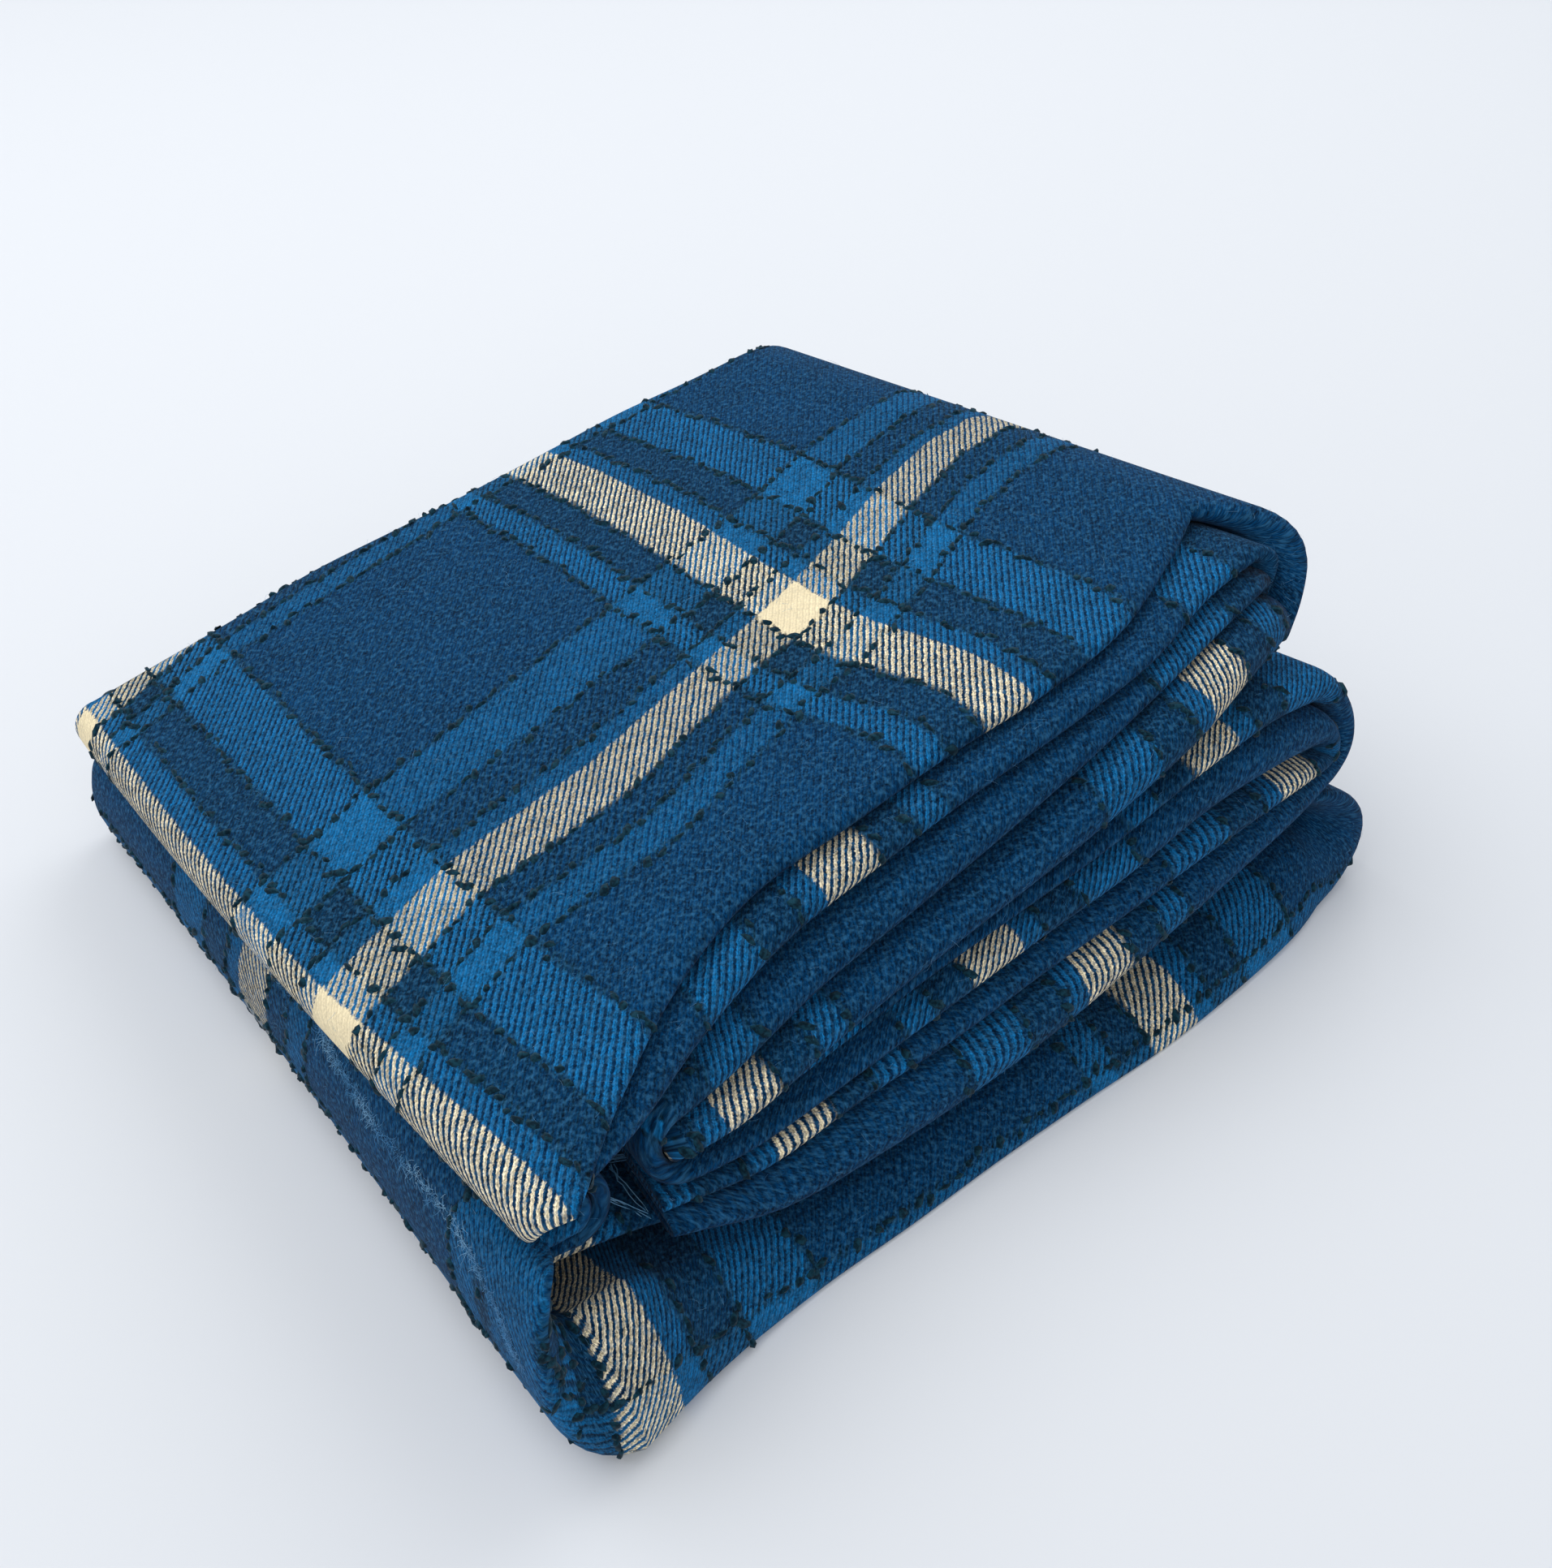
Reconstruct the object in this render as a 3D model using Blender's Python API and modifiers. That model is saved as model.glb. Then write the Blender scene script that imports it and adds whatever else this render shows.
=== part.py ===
"""A length of wool cloth, pleated into a long strip of four layers and then laid back and forth as a
stack that its own outer pass wraps. +X runs along the open folded side, +Y from that side to the back
and +Z up. The origin is on the table, under the middle of the stack."""

import math

import bmesh
import bpy
import numpy as np

# Sizes are in millimetres and become metres at the end.
MM = 0.001
CLOTH_THICKNESS = 1.4
LAYER_STEP = 1.8  # between the middles of two layers that lie together
CLEARANCE = 1.3  # from the boundary of a pass to the middle of its outer layer
TIGHTEST = 0.45  # most of a section's half height that one layer's step may take
FLOOR = 0.5 * CLOTH_THICKNESS - CLEARANCE
EDGE_POINTS = 5

# Places along X and Y where the heights below hold.
ALONG = [-135.0, -105.0, -75.0, -45.0, -15.0, 15.0, 45.0, 75.0, 105.0, 135.0]
ALONG_BACK = [-135.0, -95.0, 0.0, 135.0]
FRONT_Y = -100.0
BACK_Y = 115.0

# Heights between one pass of the strip and the next, at the front.
FRONT_HEIGHT = {
    "first": [60, 61, 61, 67, 74, 81, 87, 92, 98, 102],
    "second": [51, 51, 45, 47, 52, 57, 62, 71, 76, 74],
    "third": [42, 42, 36, 38, 40, 43, 47, 52, 53, 48],
    "fourth": [43.5, 33, 20, 16, 16, 18, 23, 29, 35, 38],
    "wrap": [35, 27, 10, 7, 7, 9, 13, 19, 25, 28],
    "pleat": [51.5] * 10,
}
# The same at the back.
BACK_HEIGHT = {
    "first": [43, 48, 60, 78],
    "second": [35, 38, 45, 59],
    "third": [27, 27, 31, 41],
    "fourth": [25, 15, 16, 24],
    "wrap": [12, 6, 7, 13],
    "pleat": [34] * 4,
}

# Y of each folded edge on the front side. Edge a joins the strip's outer two layers, b its inner two.
EDGE = {
    "a1": [-114, -95, -79, -71, -72, -73, -76, -75, -66, -55],
    "b1": [-104, -99, -88, -82, -82, -83, -85, -85, -80, -80],
    "b2": [-99, -99, -95, -92, -92, -92, -92, -90, -87, -84],
    "a2": [-104, -104, -103, -101, -101, -102, -103, -103, -98, -92],
    "a3": [-100, -100, -99, -99, -100, -102, -104, -106, -107, -108],
    "b3": [-104, -104, -105, -106, -107, -108, -110, -111, -113, -113],
    "b4": [-104, -105, -108, -109, -111, -112, -114, -116, -117, -115],
    "a4": [-106, -109, -115, -118, -120, -121, -121, -121, -120, -116],
    "a5": [-138, -132, -129, -130, -131, -133, -135, -136, -135, -129],
    "b5": [-98, -100, -104, -104, -104, -104, -104, -104, -104, -104],
    "a6": [-110, -110, -110, -110, -110, -110, -110, -114, -116, -112],
    "b6": [-106, -106, -106, -106, -106, -106, -106, -106, -108, -106],
    "pleat_in": [-99, -98, -98, -98, -98, -98, -98, -98, -98, -98],
    "pleat_out": [-101, -103, -104, -104, -104, -104, -104, -104, -104, -104],
}
# How far the top of the tall lower edge leans back from its foot.
LEAN_BACK = [23, 17, 13, 12, 12, 12, 14, 15, 15, 11]
# Depth of a folded edge's round for its height, where it isn't ROUND.
ROUND = 0.8
ROUND_OF = {"a1": 1.3, "a5": 0.22}
# The wrap stands up in front of the pleat at the left.
WRAP_LIP = 12.0
# Part of a pass's height that its upper folded edge takes.
UPPER_PART = {
    "1": [0.5, 0.5, 0.4, 0.38, 0.42, 0.5, 0.5, 0.5, 0.5, 0.5],
    "2": [0.6, 0.6, 0.6, 0.5, 0.53, 0.52, 0.35, 0.28, 0.25, 0.3],
    "3": [0.35, 0.35, 0.35, 0.35, 0.35, 0.35, 0.35, 0.35, 0.42, 0.5],
    "4": [0.4, 0.4, 0.35, 0.3, 0.32, 0.33, 0.38, 0.44, 0.48, 0.5],
    "5": [0.2, 0.2, 0.3, 0.3, 0.3, 0.3, 0.25, 0.2, 0.2, 0.2],
    "6": [0.5] * 10,
    "pleat": [0.5] * 10,
}
# Y of the stack's back edge.
BACK_EDGE = [133, 133, 133, 134, 131, 128, 126, 124, 119, 116]

# X of the turns' centres and the strip's ends: at the front, half way and at the back.
CENTRE = {
    "right_top": (124, 111, 97),
    "right_middle": (123, 105, 90),
    "right_low": (119, 110, 98),
    "left_inner": (-92, -86, -84),
    "left_top": (-126, -133, -135),
    "pleat": (-121, -116, -113),
    "left_low": (-129, -132, -137),
    "end_inner": (-101, -90, -88),
    "end_low": (62, 62, 62),
}

# The strip from end to end. A run has its upper and lower boundary, where it starts and ends, whether the
# strip's outer layer is up, the name of its upper parts, its edges and its number of stations. A turn has
# the boundary it goes round, those above and below it, its centre, its side, whether the outer layer is
# outside, whether it goes up, how far it is drawn out, how much more at the top, how late its edges leave
# those of the run before, and its number of stations.
PATH = [
    ("run", "third", "fourth", "end_inner", "right_middle", False, "4", "a4", "b4", 9),
    ("turn", "third", "second", "fourth", "right_middle", 1, True, True, 1.10, -0.50, 1.0, 5),
    ("run", "second", "third", "right_middle", "left_inner", True, "3", "a3", "b3", 9),
    ("turn", "second", "first", "third", "left_inner", -1, False, True, 1.00, 0.0, 1.0, 4),
    ("run", "first", "second", "left_inner", "right_top", False, "2", "a2", "b2", 9),
    ("turn", "first", "top", "second", "right_top", 1, True, True, 0.84, 0.82, 2.5, 5),
    ("run", "top", "first", "right_top", "left_top", True, "1", "a1", "b1", 12),
    ("turn", "first", "top", "pleat", "left_top", -1, True, False, 1.00, 0.0, 1.0, 4),
    ("run", "first", "pleat", "left_top", "pleat", False, "pleat", "pleat_in", "pleat_in", 2),
    ("turn", "pleat", "first", "fourth", "pleat", 1, False, False, 1.00, 0.0, 1.0, 3),
    ("run", "pleat", "fourth", "pleat", "left_low", True, "pleat", "pleat_out", "pleat_out", 2),
    ("turn", "fourth", "pleat", "floor", "left_low", -1, True, False, 0.47, -0.10, 1.0, 5),
    ("run", "over_wrap", "floor", "left_low", "right_low", False, "5", "a5", "b5", 11),
    ("turn", "wrap", "fourth", "floor", "right_low", 1, True, True, 1.10, -0.40, 1.0, 4),
    ("run", "fourth", "wrap", "right_low", "end_low", True, "6", "a6", "b6", 3),
]


def clear_scene():
    for thing in list(bpy.data.objects):
        bpy.data.objects.remove(thing, do_unlink=True)


def ease(t):
    t = np.clip(t, 0.0, 1.0)
    return t * t * (3.0 - 2.0 * t)


def along(values, x):
    """A smooth curve through values given at ALONG."""
    v = np.asarray(values, float)
    t = np.clip((np.asarray(x, float) - ALONG[0]) / (ALONG[1] - ALONG[0]), 0.0, len(v) - 1.0)
    i = np.minimum(t.astype(int), len(v) - 2)
    t = t - i
    before = v[np.maximum(i - 1, 0)]
    after = v[np.minimum(i + 2, len(v) - 1)]
    a, b = v[i], v[i + 1]
    slope_a, slope_b = 0.5 * (b - before), 0.5 * (after - a)
    return (
        a * (1 + 2 * t) * (1 - t) ** 2
        + slope_a * t * (1 - t) ** 2
        + b * t * t * (3 - 2 * t)
        + slope_b * t * t * (t - 1)
    )


def height(name, x, y):
    """Height of a boundary at a place on the plan."""
    if name == "floor":
        return np.full_like(x, FLOOR)
    if name == "top":
        return 87.9 + 0.169 * (x - 22) - 0.077 * (y + 5)
    if name == "over_wrap":
        covered = ease((x - 10) / 42)
        return height("fourth", x, y) * (1 - covered) + height("wrap", x, y) * covered
    to_back = np.clip((y - FRONT_Y) / (BACK_Y - FRONT_Y), -0.2, 1.2)
    front = along(FRONT_HEIGHT[name], x)
    back = np.interp(x, ALONG_BACK, BACK_HEIGHT[name])
    return front + (back - front) * to_back


def centre(name, y):
    front, half_way, back = CENTRE[name]
    t = (y - FRONT_Y) / (BACK_Y - FRONT_Y)
    return front * (1 - t) * (1 - 2 * t) + half_way * 4 * t * (1 - t) + back * t * (2 * t - 1)


class Run:
    """A section on a pass, at a share of the way from its start to its end."""

    def __init__(self, step, share):
        self.top, self.bottom, self.start, self.end, outer_up = step[1:6]
        self.share = share
        self.spread = 1.0
        self.up = 1 if outer_up else -1
        self.front_x = float(self.x(FRONT_Y))
        part, edge_a, edge_b = step[6:9]
        self.edge_a = float(along(EDGE[edge_a], self.front_x))
        self.edge_b = float(along(EDGE[edge_b], self.front_x))
        self.lean = float(along(LEAN_BACK, self.front_x)) if edge_a == "a5" else 0.0
        self.round_a = ROUND_OF.get(edge_a, ROUND)
        self.lip = WRAP_LIP * float(ease((-104 - self.front_x) / 14)) if edge_a == "a5" else 0.0
        self.split = self.up * (1 - 2 * float(along(UPPER_PART[part], self.front_x)))

    def x(self, y):
        return centre(self.start, y) * (1 - self.share) + centre(self.end, y) * self.share

    def half(self, y):
        x = self.x(y)
        return 0.5 * (height(self.top, x, y) - height(self.bottom, x, y))

    def place(self, y, level):
        x = self.x(y)
        middle = 0.5 * (height(self.top, x, y) + height(self.bottom, x, y))
        return x, middle + self.up * level * self.half(y)


class Turn:
    """A section on a turn, between the last section of one pass and the first of the next."""

    def __init__(self, step, share, before, after):
        self.around, self.above, self.below, self.at, self.side = step[1:6]
        outer_out, upward, draw, lift, late = step[6:11]
        self.out = 1 if outer_out else -1
        self.angle = math.pi * (share - 0.5) * (1 if upward else -1)
        drawn = draw + lift * math.sin(self.angle)
        self.spread = 1.0 + max(0.0, 1.0 / drawn - 1.0) * math.cos(self.angle)
        self.reach_out = self.side * drawn * math.cos(self.angle) ** 0.8
        moved = share**late
        for name in ("front_x", "edge_a", "edge_b", "lean", "split", "round_a", "lip"):
            a, b = getattr(before, name), getattr(after, name)
            setattr(self, name, a * (1 - moved) + b * moved)

    def half(self, y):
        x = centre(self.at, y)
        middle = height(self.around, x, y)
        up = 0.5 * (height(self.above, x, y) - middle)
        down = 0.5 * (middle - height(self.below, x, y))
        return 0.5 * (up + down) + 0.5 * (up - down) * math.sin(self.angle)

    def place(self, y, level):
        x = centre(self.at, y)
        reach = self.half(y) * (1 + level * self.out)
        return x + self.reach_out * reach, height(self.around, x, y) + math.sin(self.angle) * reach


def stations():
    """The sections in order along the strip."""
    found = [None] * len(PATH)
    for k, step in enumerate(PATH):
        if step[0] == "run":
            count = step[9]
            found[k] = [Run(step, i / (count - 1)) for i in range(count)]
    for k, step in enumerate(PATH):
        if step[0] == "turn":
            count = step[11]
            before, after = found[k - 1][-1], found[k + 1][0]
            found[k] = [Turn(step, (i + 1) / (count + 1), before, after) for i in range(count)]
    return [station for group in found for station in group]


def layer_levels(station, y, from_edge):
    """Levels of the four layers at y, from the outer side of the strip (1) to its inner side (-1)."""
    half = station.half(y)
    step = np.minimum(LAYER_STEP * station.spread / half, TIGHTEST)
    outer = 1 - step * CLEARANCE / LAYER_STEP
    low, high = -outer + 1.5 * step, outer - 1.5 * step
    split = np.where(low < high, np.clip(station.split, low, high), 0.0)
    spread = ease(from_edge / 70.0)
    upper = (split + 0.5 * step) * (1 - spread) + outer / 3 * spread
    lower = (split - 0.5 * step) * (1 - spread) - outer / 3 * spread
    return outer, upper, lower, -outer


def folded_edge(station, edge, lean, roundness, first, second):
    """The round of a folded edge between two of the layers."""
    turned = np.linspace(0.0, math.pi, EDGE_POINTS)
    share = 0.5 * (1 - np.cos(turned))
    levels = layer_levels(station, np.array(edge), 0.0)
    tall = float(station.half(np.array(edge)) * (levels[first] - levels[second]))
    bulge = min(roundness * tall, 10.0)
    y = edge + lean * share + bulge * (1 - np.sin(turned))
    levels = layer_levels(station, y, y - edge)
    return y, levels[first] * (1 - share) + levels[second] * share


def flat_layer(station, shares, start, end, edge, which):
    y = start + (end - start) * np.asarray(shares)
    return y, layer_levels(station, y, y - edge)[which]


def rolled_back(station, back):
    """The outer layer's own edge, turned over the back of its pass."""
    half = float(station.half(np.array(back)))
    outer = float(layer_levels(station, np.array(back), 100.0)[0])
    radius = min(5.0, 0.6 * half)
    y = np.array([back - 0.2 * radius, back, back - 0.3 * radius])
    fall = np.array([1.3 * radius, 0.8 * radius, 0.2 * radius])
    return y, outer - fall / half


def back_fold(station, back, edge):
    """The fold at the back between the two middle layers."""
    y = np.full(4, back - 9.0)
    levels = layer_levels(station, y, y - edge)
    reach = float(station.half(np.array(back))) * (levels[1][0] - levels[2][0]) * 0.5
    turned = np.array([-90.0, -30.0, 30.0, 90.0]) * math.pi / 180
    share = 0.5 * (1 + np.sin(turned))
    return y + min(reach, 3.5) * np.cos(turned), levels[1] * (1 - share) + levels[2] * share


def section(station):
    """The strip's section from the outer layer's edge to the inner layer's, as y and level."""
    back = float(along(BACK_EDGE, station.front_x))
    a, b = station.edge_a, station.edge_b
    parts = [
        rolled_back(station, back),
        flat_layer(station, [0.0, 0.3, 0.6, 0.85], back - 7, a + 12 + station.lean, a, 0),
        folded_edge(station, a, station.lean, station.round_a, 0, 1),
        flat_layer(station, [0.3, 0.7], a, back - 10, a, 1),
        back_fold(station, back, a),
        flat_layer(station, [0.3, 0.7], back - 10, b, b, 2),
        folded_edge(station, b, 0.0, ROUND, 2, 3),
        flat_layer(station, [0.2, 0.6, 1.0], b, back - 11, b, 3),
    ]
    return tuple(np.concatenate(rows) for rows in zip(*parts))


def cloth_points():
    """Points of the cloth's middle surface: stations along the strip by places across it."""
    rows = []
    for station in stations():
        y, level = section(station)
        x, z = station.place(y, level)
        z = z + station.lip * ease((-103 - y) / 9) * np.clip(z / 40, 0, 1)
        rows.append(np.stack([x, y, z], axis=1))
    points = np.array(rows)
    middle = 0.5 * (points[..., :2].min(axis=(0, 1)) + points[..., :2].max(axis=(0, 1)))
    points[..., :2] -= middle
    return points * MM


def build_cloth(points):
    along_count, across_count = points.shape[:2]
    mesh = bpy.data.meshes.new("wool_cloth")
    grid = bmesh.new()
    bmesh.ops.create_grid(
        grid, x_segments=along_count - 1, y_segments=across_count - 1, size=1.0
    )
    for vert in grid.verts:
        i = round((vert.co.x + 1) / 2 * (along_count - 1))
        j = round((vert.co.y + 1) / 2 * (across_count - 1))
        vert.co = points[i, j]
    grid.to_mesh(mesh)
    grid.free()
    cloth = bpy.data.objects.new("wool_cloth", mesh)
    thick = cloth.modifiers.new("thickness", "SOLIDIFY")
    thick.thickness = CLOTH_THICKNESS * MM
    thick.offset = 0.0
    thick.show_render = thick.show_viewport
    return cloth


def wool():
    material = bpy.data.materials.new("wool")
    material.use_nodes = True
    shader = material.node_tree.nodes["Principled BSDF"]
    shader.inputs["Base Color"].default_value = (0.022, 0.068, 0.165, 1.0)
    shader.inputs["Roughness"].default_value = 0.9
    shader.inputs["Metallic"].default_value = 0.0
    return material


def main():
    clear_scene()
    stack = bpy.data.collections.new("folded_wool_cloth")
    bpy.context.scene.collection.children.link(stack)
    cloth = build_cloth(cloth_points())
    cloth.data.materials.append(wool())
    stack.objects.link(cloth)


main()
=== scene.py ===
import math
import bmesh
import bpy
import numpy as np
from mathutils import Matrix, Vector
from mathutils.bvhtree import BVHTree


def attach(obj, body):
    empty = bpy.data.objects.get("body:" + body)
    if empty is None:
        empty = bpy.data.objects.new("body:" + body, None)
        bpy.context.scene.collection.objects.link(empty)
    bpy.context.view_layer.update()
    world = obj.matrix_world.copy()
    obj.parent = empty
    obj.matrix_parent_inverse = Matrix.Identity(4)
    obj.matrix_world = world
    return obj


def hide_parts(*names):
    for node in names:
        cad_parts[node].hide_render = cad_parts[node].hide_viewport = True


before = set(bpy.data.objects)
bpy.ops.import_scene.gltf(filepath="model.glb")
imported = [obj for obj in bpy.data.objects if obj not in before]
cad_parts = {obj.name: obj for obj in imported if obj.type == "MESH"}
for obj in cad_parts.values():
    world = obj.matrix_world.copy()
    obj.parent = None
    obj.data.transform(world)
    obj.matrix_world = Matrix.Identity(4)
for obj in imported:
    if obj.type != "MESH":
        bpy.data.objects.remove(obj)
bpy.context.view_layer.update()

mm = 0.001

# the folds, in millimetres: the stack is a strip of four layers laid back and forth

stack = {
    "thickness": 1.4,
    "layerStep": 1.8,          # middles of two layers that lie together
    "clearance": 1.3,
    "tightest": 0.45,
    "frontY": -100.0,
    "backY": 115.0,
    "middle": (-0.61, 0.48),   # where the stack's middle was before it was centred
    "along": [-135.0, -105.0, -75.0, -45.0, -15.0, 15.0, 45.0, 75.0, 105.0, 135.0],
    "alongBack": [-135.0, -95.0, 0.0, 135.0],
    "finer": 4,                # sections for each section of the solid
    "topMiddle": (22.0, -5.0),
    "topLevel": 87.9,
    "topSlope": (0.169, -0.077),
    "wrapFrom": 10.0,          # from here the last pass hides the one over it
    "wrapReach": 42.0,
}
floorLevel = 0.5 * stack["thickness"] - stack["clearance"]

# heights between one pass and the next, at the front
frontHeight = {
    "first": [60, 61, 61, 67, 74, 81, 87, 92, 98, 102],
    "second": [51, 51, 45, 47, 52, 57, 62, 71, 76, 74],
    "third": [42, 42, 36, 38, 40, 43, 47, 52, 53, 48],
    "fourth": [43.5, 33, 20, 16, 16, 18, 23, 29, 35, 38],
    "wrap": [35, 27, 10, 7, 7, 9, 13, 19, 25, 28],
    "pleat": [51.5] * 10,
}
backHeight = {
    "first": [43, 48, 60, 78],
    "second": [35, 38, 45, 59],
    "third": [27, 27, 31, 41],
    "fourth": [25, 15, 16, 24],
    "wrap": [12, 6, 7, 13],
    "pleat": [34] * 4,
}
# y of each folded edge: a joins the outer two layers, b the inner two
edgeY = {
    "a1": [-114, -95, -79, -71, -72, -73, -76, -75, -66, -55],
    "b1": [-104, -99, -88, -82, -82, -83, -85, -85, -80, -80],
    "b2": [-99, -99, -95, -92, -92, -92, -92, -90, -87, -84],
    "a2": [-104, -104, -103, -101, -101, -102, -103, -103, -98, -92],
    "a3": [-100, -100, -99, -99, -100, -102, -104, -106, -107, -108],
    "b3": [-104, -104, -105, -106, -107, -108, -110, -111, -113, -113],
    "b4": [-104, -105, -108, -109, -111, -112, -114, -116, -117, -115],
    "a4": [-106, -109, -115, -118, -120, -121, -121, -121, -120, -116],
    "a5": [-138, -132, -129, -130, -131, -133, -135, -136, -135, -129],
    "b5": [-98, -100, -104, -104, -104, -104, -104, -104, -104, -104],
    "a6": [-110, -110, -110, -110, -110, -110, -110, -114, -116, -112],
    "b6": [-106, -106, -106, -106, -106, -106, -106, -106, -108, -106],
    "pleatIn": [-99, -98, -98, -98, -98, -98, -98, -98, -98, -98],
    "pleatOut": [-101, -103, -104, -104, -104, -104, -104, -104, -104, -104],
}
leanBack = [23, 17, 13, 12, 12, 12, 14, 15, 15, 11]
roundOf = {"a1": 1.3, "a5": 0.22}             # how far a fold's round stands out, of its height
usualRound = 0.8
wrapLip = 12.0                               # how far the wrap's corner is lifted
upperPart = {
    "1": [0.5, 0.5, 0.4, 0.38, 0.42, 0.5, 0.5, 0.5, 0.5, 0.5],
    "2": [0.6, 0.6, 0.6, 0.5, 0.53, 0.52, 0.35, 0.28, 0.25, 0.3],
    "3": [0.35, 0.35, 0.35, 0.35, 0.35, 0.35, 0.35, 0.35, 0.42, 0.5],
    "4": [0.4, 0.4, 0.35, 0.3, 0.32, 0.33, 0.38, 0.44, 0.48, 0.5],
    "5": [0.2, 0.2, 0.3, 0.3, 0.3, 0.3, 0.25, 0.2, 0.2, 0.2],
    "6": [0.5] * 10,
    "pleat": [0.5] * 10,
}
backEdge = [133, 133, 133, 134, 131, 128, 126, 124, 119, 116]
turnCentre = {
    "rightTop": (124, 111, 97),
    "rightMiddle": (123, 105, 90),
    "rightLow": (119, 110, 98),
    "leftInner": (-92, -86, -84),
    "leftTop": (-126, -133, -135),
    "pleat": (-121, -116, -113),
    "leftLow": (-129, -132, -137),
    "endInner": (-101, -90, -88),
    "endLow": (62, 62, 62),
}
# runs: name, top, bottom, start, end, outer layer up, part, edges, sections
# turns: name, round which height, above, below, centre, side, outer out, upward,
# drawn in, lifted, late, sections
path = [
    ("run", "pass4", "third", "fourth", "endInner", "rightMiddle", False, "4", "a4", "b4", 9),
    ("turn", "turn43", "third", "second", "fourth", "rightMiddle", 1, True, True, 1.10, -0.50, 1.0, 5),
    ("run", "pass3", "second", "third", "rightMiddle", "leftInner", True, "3", "a3", "b3", 9),
    ("turn", "turn32", "second", "first", "third", "leftInner", -1, False, True, 1.00, 0.0, 1.0, 4),
    ("run", "pass2", "first", "second", "leftInner", "rightTop", False, "2", "a2", "b2", 9),
    ("turn", "turn21", "first", "top", "second", "rightTop", 1, True, True, 0.84, 0.82, 2.5, 5),
    ("run", "pass1", "top", "first", "rightTop", "leftTop", True, "1", "a1", "b1", 12),
    ("turn", "turnTop", "first", "top", "pleat", "leftTop", -1, True, False, 1.00, 0.0, 1.0, 4),
    ("run", "pleatIn", "first", "pleat", "leftTop", "pleat", False, "pleat", "pleatIn", "pleatIn", 2),
    ("turn", "turnPleat", "pleat", "first", "fourth", "pleat", 1, False, False, 1.00, 0.0, 1.0, 3),
    ("run", "pleatOut", "pleat", "fourth", "pleat", "leftLow", True, "pleat", "pleatOut", "pleatOut", 2),
    ("turn", "turnLow", "fourth", "pleat", "floor", "leftLow", -1, True, False, 0.47, -0.10, 1.0, 5),
    ("run", "pass5", "overWrap", "floor", "leftLow", "rightLow", False, "5", "a5", "b5", 11),
    ("turn", "turn56", "wrap", "fourth", "floor", "rightLow", 1, True, True, 1.10, -0.40, 1.0, 4),
    ("run", "pass6", "fourth", "wrap", "rightLow", "endLow", True, "6", "a6", "b6", 3),
]


def ease(t):
    t = np.clip(t, 0.0, 1.0)
    return t * t * (3.0 - 2.0 * t)


def alongX(values, x):
    v = np.asarray(values, float)
    places = stack["along"]
    t = np.clip((np.asarray(x, float) - places[0]) / (places[1] - places[0]), 0.0, len(v) - 1.0)
    i = np.minimum(t.astype(int), len(v) - 2)
    t = t - i
    a, b = v[i], v[i + 1]
    slopeA = 0.5 * (b - v[np.maximum(i - 1, 0)])
    slopeB = 0.5 * (v[np.minimum(i + 2, len(v) - 1)] - a)
    return (a * (1 + 2 * t) * (1 - t) ** 2 + slopeA * t * (1 - t) ** 2
            + b * t * t * (3 - 2 * t) + slopeB * t * t * (t - 1))


def height(name, x, y):
    if name == "floor":
        return np.full_like(x, floorLevel)
    if name == "top":
        middleX, middleY = stack["topMiddle"]
        slopeX, slopeY = stack["topSlope"]
        return stack["topLevel"] + slopeX * (x - middleX) + slopeY * (y - middleY)
    if name == "overWrap":
        covered = ease((x - stack["wrapFrom"]) / stack["wrapReach"])
        return height("fourth", x, y) * (1 - covered) + height("wrap", x, y) * covered
    toBack = np.clip((y - stack["frontY"]) / (stack["backY"] - stack["frontY"]), -0.2, 1.2)
    front = alongX(frontHeight[name], x)
    back = np.interp(x, stack["alongBack"], backHeight[name])
    return front + (back - front) * toBack


def centreX(name, y):
    front, half, back = turnCentre[name]
    t = (y - stack["frontY"]) / (stack["backY"] - stack["frontY"])
    return front * (1 - t) * (1 - 2 * t) + half * 4 * t * (1 - t) + back * t * (2 * t - 1)


class Run:
    def __init__(self, step, share):
        self.name, self.top, self.bottom, self.start, self.end, outerUp = step[1:7]
        self.share, self.spread = share, 1.0
        self.up = 1 if outerUp else -1
        self.frontX = float(self.x(stack["frontY"]))
        part, edgeA, edgeB = step[7:10]
        self.edgeA = float(alongX(edgeY[edgeA], self.frontX))
        self.edgeB = float(alongX(edgeY[edgeB], self.frontX))
        self.lean = float(alongX(leanBack, self.frontX)) if edgeA == "a5" else 0.0
        self.roundA = roundOf.get(edgeA, usualRound)
        self.lip = wrapLip * float(ease((-104 - self.frontX) / 14)) if edgeA == "a5" else 0.0
        self.split = self.up * (1 - 2 * float(alongX(upperPart[part], self.frontX)))

    def x(self, y):
        return centreX(self.start, y) * (1 - self.share) + centreX(self.end, y) * self.share

    def half(self, y):
        x = self.x(y)
        return 0.5 * (height(self.top, x, y) - height(self.bottom, x, y))

    def place(self, y, level):
        x = self.x(y)
        middle = 0.5 * (height(self.top, x, y) + height(self.bottom, x, y))
        return x, middle + self.up * level * self.half(y)


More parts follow.
